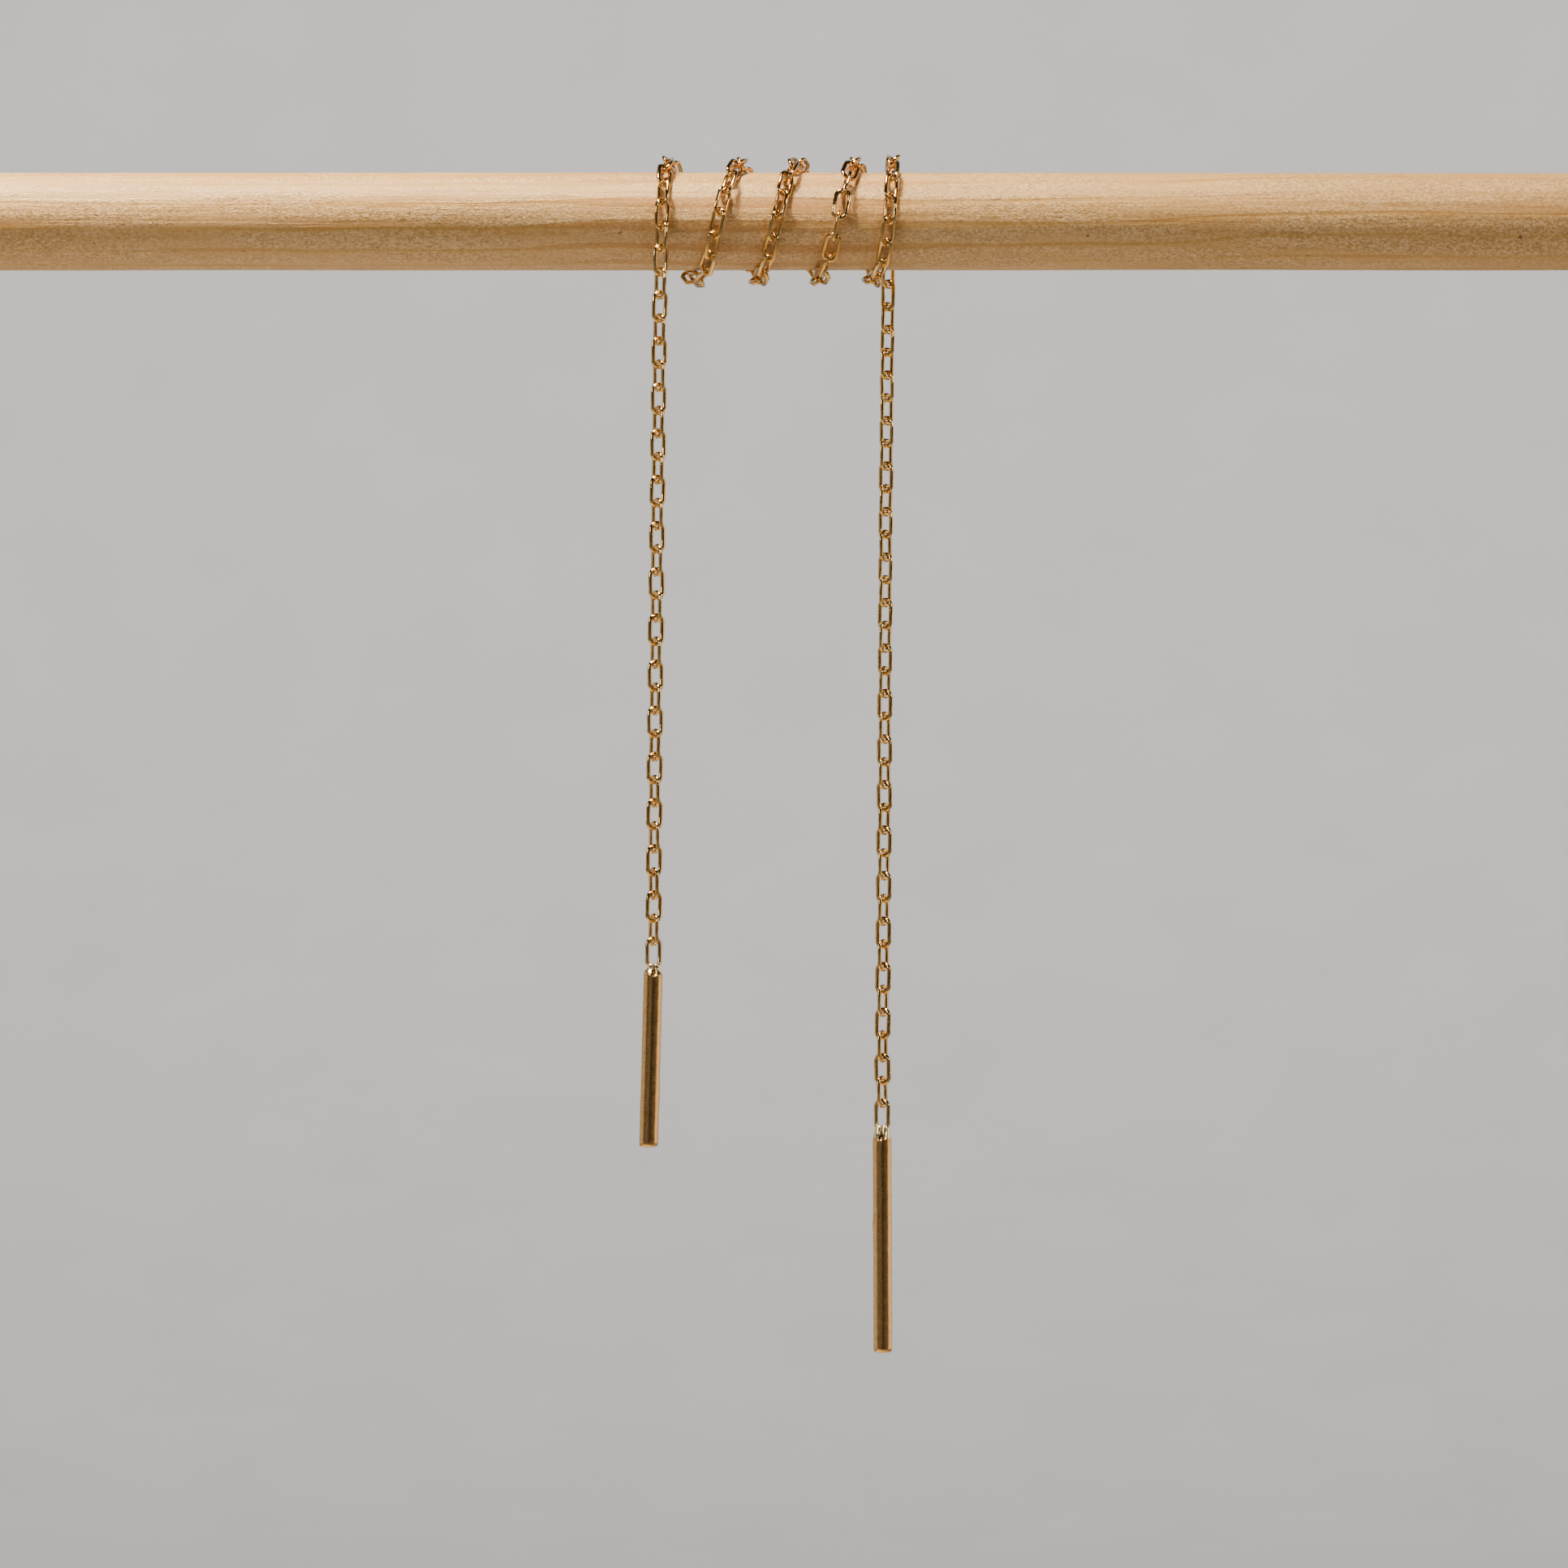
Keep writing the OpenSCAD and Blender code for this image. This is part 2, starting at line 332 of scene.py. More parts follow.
def stick_radius(x, angle):
    """Radius of the stick's skin in mm, at x along it and angle round it."""
    y, z = math.cos(angle), math.sin(angle)
    wave = noise.noise(Vector((x / 14, 1.2 * y, 1.2 * z)))
    groove = noise.noise(Vector((x / 9 + 40, 16 * y, 16 * z)))
    return STICK_R + SKIN_OUT + WAVE_DEPTH * wave + GROOVE_DEPTH * groove


def stick_ring(x, inset):
    """Points of one ring, at x along the stick and inset mm smaller than the skin."""
    ring = []
    for k in range(STICK_SIDES):
        angle = 2 * math.pi * k / STICK_SIDES
        r = max(stick_radius(x, angle) - inset, MIN_R)
        ring.append(Vector((x, r * math.cos(angle), r * math.sin(angle))) * MM)
    return ring


print("radius at the middle", round(stick_radius(0, 0), 3), "mm")


# %% A mesh from rings
def rings_to_mesh(name, rings):
    """A closed mesh from rings of points, each a list of the same length. Its ends are closed."""
    mesh = bmesh.new()
    rows = [[mesh.verts.new(p) for p in ring] for ring in rings]
    sides = len(rows[0])
    for a, b in zip(rows, rows[1:]):
        for k in range(sides):
            mesh.faces.new((a[k], a[(k + 1) % sides], b[(k + 1) % sides], b[k]))
    for row in (rows[0], rows[-1]):
        middle = mesh.verts.new(sum((v.co for v in row), Vector()) / sides)
        for k in range(sides):
            mesh.faces.new((row[k], row[(k + 1) % sides], middle))
    bmesh.ops.recalc_face_normals(mesh, faces=mesh.faces)
    for face in mesh.faces:
        face.smooth = True
    data = bpy.data.meshes.new(name)
    mesh.to_mesh(data)
    mesh.free()
    made = bpy.data.objects.new(name, data)
    bpy.context.scene.collection.objects.link(made)
    return made


full_end = STICK_HALF - STICK_BEVEL
stations = list(np.arange(-full_end, STICK_HALF - STICK_BEVEL / 2, STICK_STEP)) + [full_end]
left_end = [(-STICK_HALF + STICK_BEVEL * (1 - done), inset) for done, inset in reversed(SAWN_END)]
right_end = [(STICK_HALF - STICK_BEVEL * (1 - done), inset) for done, inset in SAWN_END]
stick_rows = left_end + [(x, 0.0) for x in stations] + right_end
stick = rings_to_mesh("wooden_stick", [stick_ring(x, inset) for x, inset in stick_rows])
stick.data.materials.append(bare_bamboo)
print("stick:", len(stick.data.polygons), "faces")

# %% [markdown]
# ## The way of the chain
#
# A chain of small links has no free curve: it bends only where two links hook. So its way is a
# row of hooks, one pitch apart, and each link is a straight line from one hook to the next.
#
# Places along the chain are counted in links, from the middle of the short bar's own link. The
# front strand hangs straight down. The wound stretch starts at the front of the stick and goes
# up over it, four and a half turns, and the back strand hangs down behind. The tables are the
# same as in the measured model, so every link here stands where its solid stands.

# %% Points of the chain's way
# Height below the stick's axis, place along the stick, roll of every second link.
FRONT_STRAND = [(0, -6.08, -36), (1.5, -6.14, -36), (5, -6.21, -35),
                (17, -6.35, -32), (27, -6.45, -30), (37, -6.52, -28)]
BACK_STRAND = [(0, 5.32, -405), (5.4, 5.25, -403), (15, 5.15, -400),
               (28, 5.09, -395), (38, 5.02, -391), (45, 4.97, -388)]
# Turns made, place along the stick, roll of every second link, lift off the snug path.
WOUND = [
    (0.00, -6.08, -36, 0.04), (0.12, -6.02, -40, 0.03), (0.22, -5.90, -50, 0.04),
    (0.33, -5.52, -64, 0.12), (0.50, -5.20, -90, 0.24), (0.66, -4.82, -114, 0.14),
    (0.80, -4.06, -130, 0.02), (0.90, -3.66, -135, 0.00), (1.00, -3.31, -135, 0.00),
    (1.10, -2.80, -137, 0.00), (1.22, -2.28, -144, 0.03), (1.33, -1.98, -156, 0.07),
    (1.50, -1.76, -180, 0.09), (1.66, -1.56, -204, 0.07), (1.80, -1.10, -220, 0.02),
    (1.90, -0.72, -225, 0.00), (2.00, -0.33, -225, 0.00), (2.10, 0.05, -225, 0.00),
    (2.22, 0.60, -225, 0.02), (2.33, 1.05, -225, 0.01), (2.66, 1.48, -225, 0.00),
    (2.80, 1.90, -230, 0.02), (2.90, 2.32, -248, 0.07), (3.00, 2.72, -269, 0.10),
    (3.10, 3.12, -288, 0.08), (3.22, 3.52, -308, 0.04), (3.33, 3.80, -323, 0.08),
    (3.50, 4.02, -347, 0.12), (3.66, 4.22, -370, 0.09), (3.80, 4.72, -392, 0.04),
    (3.90, 5.05, -404, 0.01), (4.00, 5.28, -405, 0.00), (4.10, 5.38, -405, 0.02),
    (4.22, 5.50, -405, 0.10), (4.33, 5.48, -405, 0.32), (4.50, 5.32, -405, 0.38),
]
TURNS, ALONG, ROLL, LIFT = 0, 1, 2, 3
print("the wound stretch has", len(WOUND), "chosen points")

# %% Lengths along the chain's way
# The size of a link in the measured solids, its pitch, and the gap between chain and stick.
SOLID_LINK_LEN = 1.7
SOLID_LINK_W = 0.92
SOLID_WIRE_W = 0.17
SOLID_WIRE_T = 0.15
PITCH = 1.153
WIND_GAP = 0.03
FRONT_DROP = 36.72
BACK_DROP = 44.93
# A link rolled by 45 degrees reaches this far from its middle to its side.
SIDE_REACH = (SOLID_LINK_W + SOLID_WIRE_T) * math.sin(math.pi / 4) / 2
SNUG_R = STICK_R + WIND_GAP + SIDE_REACH
HALF_BEND = math.asin(PITCH / (2 * SNUG_R))
ARC_PITCH = PITCH * HALF_BEND / math.sin(HALF_BEND)


def in_table(key, table, column):
    """The value in a column of a table, on the straight runs between the chosen points."""
    return float(np.interp(key, [row[0] for row in table], [row[column] for row in table]))


def hook_r(turns):
    """Radius of the circle that the hooks lie on, in mm."""
    return (SNUG_R + in_table(turns, WOUND, LIFT)) / math.cos(HALF_BEND)


ARCS = [0.0]
for here, there in zip(WOUND, WOUND[1:]):
    around = math.pi * (hook_r(here[TURNS]) + hook_r(there[TURNS])) * (there[TURNS] - here[TURNS])
    ARCS.append(ARCS[-1] + math.hypot(around, there[ALONG] - here[ALONG]))
WIND_START = FRONT_DROP / PITCH
WIND_END = WIND_START + ARCS[-1] / ARC_PITCH
LAST_LINK = round(WIND_END + BACK_DROP / PITCH)
print("wound length", round(ARCS[-1], 1), "mm, links", LAST_LINK + 1)


# %% Where each link stands
def turns_at(count):
    """Turns made round the stick at this count of links."""
    arc = (count - WIND_START) * ARC_PITCH
    return float(np.interp(arc, ARCS, [row[TURNS] for row in WOUND]))


def outward(turns):
    """Direction away from the stick's axis, after these turns from its front."""
    angle = 2 * math.pi * turns
    return Vector((0, -math.cos(angle), math.sin(angle)))


def drop_at(count):
    """Height below the stick's axis in mm, on either hanging strand."""
    return PITCH * max(WIND_START - count, count - WIND_END, 0)


def at_place(count, column):
    """The value in a column of the table that holds at this count of links."""
    if count < WIND_START:
        return in_table(drop_at(count), FRONT_STRAND, column)
    if count > WIND_END:
        return in_table(drop_at(count), BACK_STRAND, column)
    return in_table(turns_at(count), WOUND, column)


def hook(count):
    """The point, in mm, where two links hook, at a half-way count along the chain."""
    turns = turns_at(count)
    return Vector((at_place(count, ALONG), 0, -drop_at(count))) + hook_r(turns) * outward(turns)


def link_place(i):
    """Middle of link i in mm, and its directions across its width and along its length."""
    a, b = hook(i - 0.5), hook(i + 0.5)
    along = (b - a).normalized()
    level = along.cross(outward(turns_at(i))).normalized()
    roll = math.radians(at_place(i, ROLL) + (0 if i % 2 == 0 else 90))
    across = level * math.cos(roll) + level.cross(along) * math.sin(roll)
    return (a + b) / 2, across, along


print("the short bar's link is at", [round(v, 2) for v in link_place(0)[0]])

# %% [markdown]
# ## One link, and a link at every place
#
# Each link is an oval of flattened wire. Its two long sides are straight and its ends are half
# circles. Every second link is turned a quarter, so it can pass through its neighbours.
#
# All links are alike, so one small tree makes a link and puts a copy at every point it is given:
# a circle is pulled apart into an oval, and a bevelled rectangle, the section of the wire, is
# swept round it. The points carry two directions, across and along, which turn each copy. A small
# random tilt with a fixed seed stands for the play in the hooks. Copies are made real at the end,
# so that the result is plain mesh.

# %% The tree of links: its named inputs
links_tree = bpy.data.node_groups.new("cable_chain_links", "GeometryNodeTree")
for label, kind in (("Places", "Geometry"), ("Link Length", "Float"), ("Link Width", "Float"),
                    ("Wire Width", "Float"), ("Wire Thickness", "Float"), ("Edge Bevel", "Float"),
                    ("Tilt", "Float"), ("Seed", "Int"), ("Metal", "Material")):
    links_tree.interface.new_socket(label, in_out="INPUT", socket_type="NodeSocket" + kind)
links_tree.interface.new_socket("Links", in_out="OUTPUT", socket_type="NodeSocketGeometry")
given = add(links_tree, "NodeGroupInput").outputs
print("inputs:", [socket.name for socket in given if socket.name])

# %% The tree of links: one link
# Twelve points round the two ends keep each link under a hundred faces. The circle is that much
# larger that the flats between its points, not the points, lie on the true outline.
END_POINTS = 12
HALF_AND_OUT = 0.5 / math.cos(math.pi / END_POINTS)
middle_w = add(links_tree, "minus", given["Link Width"], given["Wire Width"])
end_r = add(links_tree, "times", middle_w, HALF_AND_OUT)
straight = add(links_tree, "minus", given["Link Length"], given["Link Width"])
half_straight = add(links_tree, "times", straight, 0.5)
circle = add(links_tree, "GeometryNodeCurvePrimitiveCircle", END_POINTS, end_r)
half_step = add(links_tree, "GeometryNodeTransform", circle,
                inputs={"Rotation": (0, 0, math.pi / END_POINTS)})
at = add(links_tree, "ShaderNodeSeparateXYZ", add(links_tree, "GeometryNodeInputPosition")).outputs
side = add(links_tree, "ShaderNodeMath", at["Y"], operation="SIGN")
pull = add(links_tree, "times", side, half_straight)
oval = add(links_tree, "GeometryNodeSetPosition", half_step,
           inputs={"Offset": add(links_tree, "ShaderNodeCombineXYZ", inputs={"Y": pull})})
section = add(links_tree, "GeometryNodeCurvePrimitiveQuadrilateral",
              given["Wire Width"], given["Wire Thickness"])
bevelled = add(links_tree, "GeometryNodeFilletCurve", section, given["Edge Bevel"])
wire = add(links_tree, "GeometryNodeCurveToMesh", oval, bevelled)
upright = add(links_tree, "GeometryNodeTransform", wire, inputs={"Rotation": (math.pi / 2, 0, 0)})
one_link = add(links_tree, "GeometryNodeSetShadeSmooth", upright)
print("one link takes", len(links_tree.nodes), "nodes")

# %% The tree of links: a copy at each place
along, across = [add(links_tree, "GeometryNodeInputNamedAttribute", label, data_type="FLOAT_VECTOR")
                 for label in ("along", "across")]
turned = add(links_tree, "FunctionNodeAxesToRotation", along, across,
             primary_axis="Z", secondary_axis="X")
less = add(links_tree, "times", given["Tilt"], -1.0)
tilt = add(links_tree, "FunctionNodeRandomValue", less, given["Tilt"],
           inputs={"Seed": given["Seed"]}, data_type="FLOAT_VECTOR")
tilted = add(links_tree, "FunctionNodeRotateRotation", turned, tilt, rotation_space="LOCAL")
copies = add(links_tree, "GeometryNodeInstanceOnPoints", given["Places"],
             inputs={"Instance": one_link, "Rotation": tilted})
tone = add(links_tree, "FunctionNodeRandomValue", inputs={"Seed": given["Seed"]}, data_type="FLOAT")
toned = add(links_tree, "GeometryNodeStoreNamedAttribute", copies,
            inputs={"Name": "link_tone", "Value": tone}, data_type="FLOAT", domain="INSTANCE")
real = add(links_tree, "GeometryNodeRealizeInstances", toned)
finished = add(links_tree, "GeometryNodeSetMaterial", real, inputs={"Material": given["Metal"]})
add(links_tree, "NodeGroupOutput", finished)
print("link tree:", len(links_tree.nodes), "nodes")

# %% [markdown]
# ## Links at their true size
#
# The measured solids leave room at each hook, so that no two of them touch. The real links are
# 0.05 mm shorter, and their wire is stouter: 0.225 mm wide and 0.18 mm thick. That closes the
# play between two links to 0.05 mm, and makes the chain as full as it really is.

# %% Links at given places
LINK = {"Link Length": 1.65 * MM, "Link Width": 0.92 * MM, "Wire Width": 0.225 * MM,
        "Wire Thickness": 0.18 * MM, "Edge Bevel": 0.06 * MM}


def make_links(name, numbers, metal, tilt_degrees, seed):
    """A plain mesh object of the links with these numbers."""
    data = bpy.data.meshes.new(name + "_places")
    places = [link_place(i) for i in numbers]
    data.from_pydata([middle * MM for middle, _, _ in places], [], [])
    for label, column in (("across", 1), ("along", 2)):
        stored = data.attributes.new(label, "FLOAT_VECTOR", "POINT")
        stored.data.foreach_set("vector", [v for place in places for v in place[column]])
    maker = bpy.data.objects.new(name + "_maker", data)
    bpy.context.scene.collection.objects.link(maker)
    modifier = maker.modifiers.new("links", "NODES")
    modifier.node_group = links_tree
    wanted = {**LINK, "Tilt": math.radians(tilt_degrees), "Seed": seed, "Metal": metal}
    for socket in links_tree.interface.items_tree:
        if socket.in_out == "INPUT" and socket.name in wanted:
            modifier[socket.identifier] = wanted[socket.name]
    graph = bpy.context.evaluated_depsgraph_get()
    mesh = bpy.data.meshes.new_from_object(maker.evaluated_get(graph))
    mesh.name = name
    maker.modifiers.clear()
    bpy.data.objects.remove(maker)
    made = bpy.data.objects.new(name, mesh)
    bpy.context.scene.collection.objects.link(made)
    return made


CHAIN_TILT = 1.5
CHAIN_SEED = 7
chain = make_links("gold_chain", range(1, LAST_LINK), polished_gold, CHAIN_TILT, CHAIN_SEED)
print("chain:", len(chain.data.polygons), "faces")

# %% [markdown]
# ## The bars and their solder joints
#
# Each bar is a round gold wire, about 0.95 mm thick. The last link of the chain stands on its top
# end, and solder was melted round the link's foot. It drew in to a small collar, which narrows
# from the bar up to the link: one lobe over each side of the link's foot, and a groove between.
#
# The bar is a stack of rings, like the stick. A ring is round on the body and two overlapping
# lobes on the collar, and a noise moves it in and out a few thousandths of a millimetre. A
# Boolean joins the link's mesh to it, so bar, solder and link are one closed skin.

# %% What the two bars are
class Bar(NamedTuple):
    """One bar. Lengths are in mm."""
    link: int           # number of its own link
    hang: int           # -1 where the chain starts, 1 where it ends
    body: float         # length of the round body
    lean: float         # degrees, the free end towards -X
    collar: list        # rows of the solder joint, from the link down
    cut: float = 0.0    # rise of the free end's cut towards +X, for each mm
    cant: float = 0.0   # fall of the top edge towards +X, for each mm
    flaw: tuple = ()    # depth and size of a rough spot on the -X side


# Depth, half width, radius of the lobes as a share of it, depth of the groove. In mm.
SHORT_COLLAR = [
    (0.00, 0.120, 0.58, 0.00), (0.00, 0.250, 0.58, 0.00), (0.02, 0.310, 0.58, 0.02),
    (0.06, 0.335, 0.58, 0.03), (0.13, 0.335, 0.60, 0.04), (0.20, 0.325, 0.63, 0.06),
    (0.26, 0.330, 0.68, 0.09), (0.31, 0.350, 0.73, 0.12), (0.36, 0.385, 0.79, 0.15),
    (0.40, 0.420, 0.84, 0.17), (0.44, 0.450, 0.89, 0.18), (0.48, 0.466, 0.93, 0.16),
    (0.52, 0.473, 0.96, 0.11), (0.56, 0.475, 0.98, 0.05), (0.61, 0.475, 1.00, 0.015),
    (0.67, 0.475, 1.00, 0.00),
]
LONG_COLLAR = [
    (0.00, 0.120, 0.58, 0.00), (0.00, 0.270, 0.58, 0.00), (0.02, 0.330, 0.58, 0.02),
    (0.06, 0.358, 0.58, 0.03), (0.13, 0.372, 0.60, 0.04), (0.22, 0.380, 0.64, 0.05),
    (0.32, 0.390, 0.70, 0.08), (0.42, 0.405, 0.77, 0.12), (0.50, 0.425, 0.84, 0.15),
    (0.57, 0.445, 0.90, 0.16), (0.63, 0.458, 0.95, 0.13), (0.69, 0.468, 0.98, 0.07),
    (0.75, 0.475, 1.00, 0.02), (0.82, 0.475, 1.00, 0.00),
]
DEPTH, GROOVE = 0, 3
SHORT_BAR = Bar(link=0, hang=-1, body=8.65, lean=1.5, collar=SHORT_COLLAR, cut=0.05, cant=0.17)
LONG_BAR = Bar(link=LAST_LINK, hang=1, body=11.0, lean=-0.2, collar=LONG_COLLAR, flaw=(5.2, 0.035))
print("solder", SHORT_COLLAR[-1][DEPTH], "and", LONG_COLLAR[-1][DEPTH], "mm high")

# %% The rings of a bar
BAR_R = 0.475
BAR_SIDES = 72
BAR_STEP = 0.12
NECK_H = 0.5
END_ROUND = 0.19
END_ANGLES = (0, 22, 45, 68, 90)
# The body's rings stop this far above the rounding, and the flat end bulges by this much.
END_GAP = 0.03
END_BULGE = 0.008
GROOVE_HALF = 0.08
# The slant of the cut fades out over CUT_FADE, the cant lies round CANT_AT, and the flaw round its
# own depth.
CUT_FADE = 1.5
CANT_AT = 0.4
CANT_HALF = 0.25
FLAW_HALF = 0.45


def bar_rows(bar):
    """Rows for all rings of a bar: the collar's, the body's and the rounded end's."""
    end = NECK_H + bar.body
    body = np.arange(bar.collar[-1][DEPTH] + BAR_STEP, end - END_ROUND - END_GAP, BAR_STEP)
    rows = list(bar.collar) + [(depth, BAR_R, 1, 0) for depth in body]
    for a in np.radians(END_ANGLES):
        rows.append((end - END_ROUND * (1 - math.sin(a)), BAR_R - END_ROUND * (1 - math.cos(a)), 1, 0))
    return rows + [(end + END_BULGE, BAR_R * 0.5, 1, 0)]


def lobed_radius(row, angle):
    """Radius of a ring at an angle from its link's width: two lobes, and a groove between."""
    _, r, lobe, groove = row
    c, s = math.cos(angle), math.sin(angle)
    outline = r * ((1 - lobe) * abs(c) + math.sqrt(lobe ** 2 - ((1 - lobe) * s) ** 2))
    return outline - groove * math.exp(-(c * r / GROOVE_HALF) ** 2)


def unevenness(spot, angle, bar):
    """How far the skin stands out at a spot in mm. The solder is rougher than the body."""
    soldered = 1 - min(-spot.z / bar.collar[-1][DEPTH], 1)
    rough = (0.006 + 0.018 * soldered) * noise.noise(spot * 2.6 + Vector((bar.link, 0, 0)))
    rough += 0.010 * noise.noise(spot * 0.5 + Vector((0, bar.link, 0)))
    if bar.flaw:
        depth, size = bar.flaw
        near = math.exp(-((-spot.z - depth) / FLAW_HALF) ** 2) * max(0, -math.cos(angle)) ** 6
        rough += size * near * max(0, 0.4 + 1.6 * noise.noise(spot * 7))
    return rough


def bar_ring(row, bar, facing):
    """Points of one ring in mm, on a bar that hangs straight down from the origin."""
    depth, r = row[:2]
    slant = bar.cut * max(0, 1 - (NECK_H + bar.body - depth) / CUT_FADE)
    slant -= bar.cant * max(0, 1 - abs(depth - CANT_AT) / CANT_HALF)
    ring = []
    for k in range(BAR_SIDES):
        angle = 2 * math.pi * k / BAR_SIDES
        out = Vector((math.cos(angle), math.sin(angle), 0))
        spot = out * lobed_radius(row, angle - facing) + Vector((0, 0, -depth))
        spot += out * unevenness(spot, angle, bar) * min(1, r / BAR_R)
        spot.z += slant * spot.x
        ring.append(spot)
    return ring


print("rings of the short bar:", len(bar_rows(SHORT_BAR)))

# %% A bar with its link
SOLDER_RISE = 0.13
# The solder turns with its link, but only in part, so that its groove stays near the front.
FACING_SHARE = 0.35
DEEP_GROOVE = 0.18
# Half width of the crevice's painted shade, in mm.
CREVICE_HALF = 0.14
# The solder's look starts inside the link and ends short of the bar's full width.
SOLDER_TOP = -0.14
SOLDER_SHORT = 0.15
LINK_BOTTOM = -0.02
ZONE_FADE = 0.1


def join_link(piece, link_object):
    """The piece's mesh with the link's mesh joined to it, all in satin gold."""
    join = piece.modifiers.new("join", "BOOLEAN")
    join.operation = "UNION"
    join.solver = "EXACT"
    join.object = link_object
    graph = bpy.context.evaluated_depsgraph_get()
    joined = bpy.data.meshes.new_from_object(piece.evaluated_get(graph))
    piece.modifiers.clear()
    piece.data = joined
    bpy.data.objects.remove(link_object)
    joined.materials.clear()
    joined.materials.append(satin_gold)
    joined.polygons.foreach_set("material_index", [0] * len(joined.polygons))
    joined.polygons.foreach_set("use_smooth", [True] * len(joined.polygons))
    return joined


def mark_zones(mesh, bar, seat, down, crosswise):
    """Stores where the solder and the link are, and the crevice that gets painted shade, for the material.
    """
    spots = [v.co / MM - seat for v in mesh.vertices]
    depths = [spot.dot(down) for spot in spots]
    bottom = bar.collar[-1][DEPTH] - SOLDER_SHORT
    # The crevice gets painted shade, darkest where the groove is deepest and near its middle.
    grooves = np.interp(depths, [row[DEPTH] for row in bar.collar],
                        [row[GROOVE] / DEEP_GROOVE for row in bar.collar])
    narrow = [math.exp(-(spot.dot(crosswise) / CREVICE_HALF) ** 2) for spot in spots]
    zones = {"solder": [min(bottom - d, d - SOLDER_TOP) / ZONE_FADE for d in depths],
             "link": [(LINK_BOTTOM - d) / ZONE_FADE for d in depths],
             "crevice_shade": [1.8 * g * g * share for g, share in zip(grooves, narrow)]}
    for label, values in zones.items():
        stored = mesh.attributes.new(label, "FLOAT", "POINT")
        stored.data.foreach_set("value", [min(1, max(0, value)) for value in values])


def make_bar(name, bar):
    """A bar, its solder and its link as one piece."""
    middle, across, along = link_place(bar.link)
    seat = middle + along * bar.hang * (SOLID_LINK_LEN / 2 - SOLID_WIRE_W - SOLDER_RISE)
    lean = Matrix.Rotation(math.radians(bar.lean), 3, "Y")
    facing = FACING_SHARE * math.atan(across.y / across.x)
    rings = [[(seat + lean @ spot) * MM for spot in bar_ring(row, bar, facing)] for row in bar_rows(bar)]
    piece = rings_to_mesh(name, rings)
    joined = join_link(piece, make_links(name + "_link", [bar.link], satin_gold, 0, 1))
    crosswise = Vector((math.cos(facing), math.sin(facing), 0))
    mark_zones(joined, bar, seat, lean @ Vector((0, 0, -1)), crosswise)
    print(name, len(joined.polygons), "faces")
    return piece


short_bar = make_bar("gold_short_bar", SHORT_BAR)
long_bar = make_bar("gold_long_bar", LONG_BAR)

# %% [markdown]
# ## Floor, light and camera
#
# Gold shows what is round it. Under one flat white light it would look like paint, so the light
# comes from a few soft panels with darker room between them: each bar then shows a bright band
# down each side and a darker middle. The key hangs high above and a little left, narrow enough
# that the stick's upper half is bright and its lower half falls off. Inside it a small hot centre
# gives the chain its glints, and two small panels in front give it some more.
#
# The floor is a plain pale sheet that curves up behind. It has lights of its own, so that it stays
# pale from every side. The camera looks level along +Y from 430 mm away, through a long lens.

# %% Floor
FLOOR_Z = -0.16
FLOOR_HALF = 1.5
CURVE_FROM = 0.9
CURVE_R = 0.5
WALL_TOP = 1.6
sweep = [(-FLOOR_HALF, 0.0), (CURVE_FROM, 0.0)]
for a in np.radians(range(6, 91, 6)):
    sweep.append((CURVE_FROM + CURVE_R * math.sin(a), CURVE_R - CURVE_R * math.cos(a)))
sweep.append((CURVE_FROM + CURVE_R, WALL_TOP))
floor_points = [(x, y, FLOOR_Z + z) for y, z in sweep for x in (-FLOOR_HALF, FLOOR_HALF)]
floor_faces = [(2 * i, 2 * i + 1, 2 * i + 3, 2 * i + 2) for i in range(len(sweep) - 1)]
floor_data = bpy.data.meshes.new("floor")
floor_data.from_pydata(floor_points, [], floor_faces)
floor_data.polygons.foreach_set("use_smooth", [True] * len(floor_faces))
floor = bpy.data.objects.new("floor", floor_data)
bpy.context.scene.collection.objects.link(floor)
print("floor:", len(floor_faces), "faces")

# %% Backdrop paper
# Matt paper with clouds 25 mm wide, so faint that they only keep it from looking flat.
pale_paper, tree, place = new_material("pale_backdrop_paper")
clouds = add(tree, "ShaderNodeTexNoise", place, inputs={"Scale": 1 / 0.025, "Detail": 3.0})
cloud_share = add(tree, "ShaderNodeMapRange", clouds, 0.3, 0.7)
paper = add(tree, "mix", cloud_share, srgb("#B2B0AD"), srgb("#B6B4B1"))
shader = add(tree, "ShaderNodeBsdfPrincipled", inputs={"Base Color": paper, "Roughness": 0.9})
add(tree, "ShaderNodeOutputMaterial", shader)
floor_data.materials.append(pale_paper)
print("paper has", len(tree.nodes), "nodes")

# %% Room light
# The room is dim, so that the metal has something dark to reflect. Seen directly it is pale.
world = bpy.data.worlds.new("studio")
bpy.context.scene.world = world
world.use_nodes = True
tree = world.node_tree
tree.nodes.clear()
dim_room = add(tree, "ShaderNodeBackground", srgb("#FFF8F0"), 0.035)
pale_room = add(tree, "ShaderNodeBackground", srgb("#C9C7C4"), 0.62)
seen = add(tree, "ShaderNodeLightPath").outputs["Is Camera Ray"]
room = add(tree, "ShaderNodeMixShader", seen, dim_room, pale_room)
add(tree, "ShaderNodeOutputWorld", room)
print("room has", len(tree.nodes), "nodes")


# %% Light panels
def add_panel(name, place_m, size_m, watts, tint="#FFFFFF", aim=(0, 0, -0.02), spread=180):
    """A soft oblong light panel that looks at the object, and that the camera doesn't see."""
    data = bpy.data.lights.new(name, "AREA")
    data.shape = "RECTANGLE"
    data.size, data.size_y = size_m
    data.energy = watts
    data.color = srgb(tint)[:3]
    data.spread = math.radians(spread)
    made = bpy.data.objects.new(name, data)
    made.location = place_m
    made.rotation_euler = (Vector(aim) - Vector(place_m)).to_track_quat("-Z", "Y").to_euler()
    made.visible_camera = False
    bpy.context.scene.collection.objects.link(made)


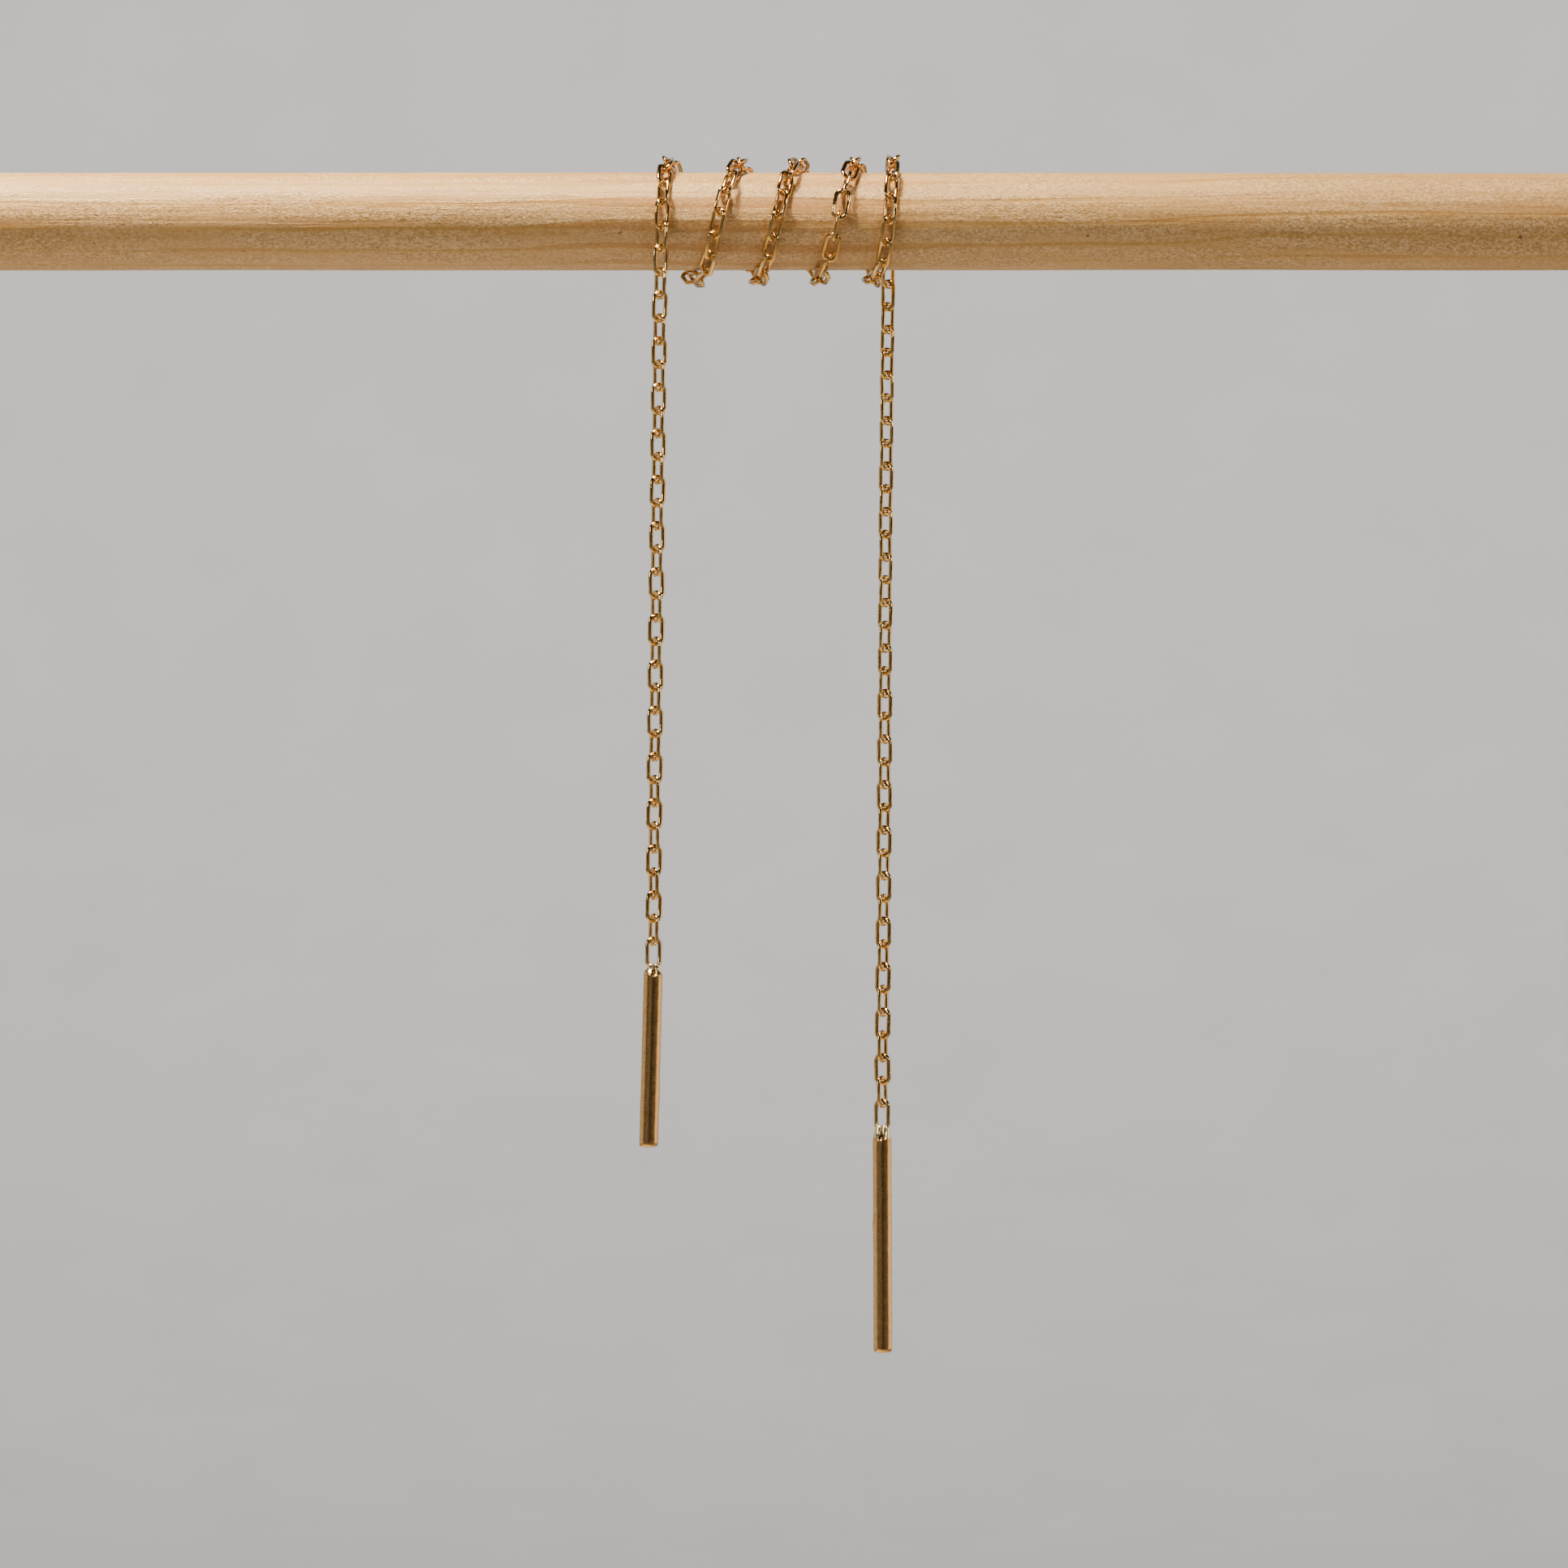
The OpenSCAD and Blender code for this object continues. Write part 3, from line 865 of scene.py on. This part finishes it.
# The key's cone is narrow, in degrees, and aims left of the chain, where the stick is brightest.
KEY_AIM = (-0.08, 0, -0.01)
KEY_SPREAD = 30
GLINT_SIZE = (0.15, 0.15)
SIDE_SIZE = (0.62, 0.5)
add_panel("key_above_left", (-0.15, -0.11, 0.56), (0.28, 0.28), 0.45, "#FFDDA8", KEY_AIM, KEY_SPREAD)
add_panel("key_hot_centre", (-0.145, -0.107, 0.55), (0.08, 0.08), 0.30, "#FFEFD2", KEY_AIM, KEY_SPREAD)
add_panel("left_panel", (-0.5, 0.13, 0.0), SIDE_SIZE, 0.55, "#FFF6EC")
add_panel("right_panel", (0.5, 0.13, 0.0), SIDE_SIZE, 1.25, "#FFEBD2")
add_panel("front_fill", (-0.30, -0.75, 0.10), (0.36, 0.30), 0.10, "#F6F7FF")
add_panel("right_glint", (0.38, -0.45, 0.30), GLINT_SIZE, 0.85, "#FFF8EE")
add_panel("left_glint", (-0.42, -0.42, 0.24), GLINT_SIZE, 0.85, "#FFF8EE")
add_panel("backdrop_light", (0.0, 0.5, 1.1), (1.2, 0.4), 11.0, aim=(0, 1.4, 0.1), spread=100)
for x in (-1.2, 1.2):
    for y in (-1.2, 0.2):
        add_panel("floor_light", (x, y, 0.85), (0.9, 0.9), 4.0, aim=(x, y, FLOOR_Z), spread=84)
print("lights:", len(bpy.data.lights))

# %% Camera
# The lens gives a picture about 79 mm wide at the stick, as in the photo.
CAMERA_AWAY = 0.430
CAMERA_DOWN = 0.028286
camera_data = bpy.data.cameras.new("camera")
camera_data.sensor_width = 36.0
camera_data.lens = 196.3
camera_data.clip_start = 0.01
camera_data.clip_end = 20.0
camera = bpy.data.objects.new("camera", camera_data)
camera.location = (0.0, -CAMERA_AWAY, -CAMERA_DOWN)
camera.rotation_euler = (math.pi / 2, 0, 0)
bpy.context.scene.collection.objects.link(camera)
bpy.context.scene.camera = camera
width = CAMERA_AWAY * camera_data.sensor_width / camera_data.lens
print("picture at the stick:", round(width / MM, 1), "mm wide")

# %% [markdown]
# ## The pieces on the root
#
# Nothing moves in this object, so every piece rides on the root. Each piece stands for one node
# of the measured model, and that node's own part is hidden.

# %% Pieces and bodies
for piece, node_name, slot_name in ((stick, "stick", "wood"),
                                    (chain, "chain", "polished_gold"),
                                    (short_bar, "short_bar", "satin_gold"),
                                    (long_bar, "long_bar", "satin_gold")):
    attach(piece, "root")
    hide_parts(node_name)
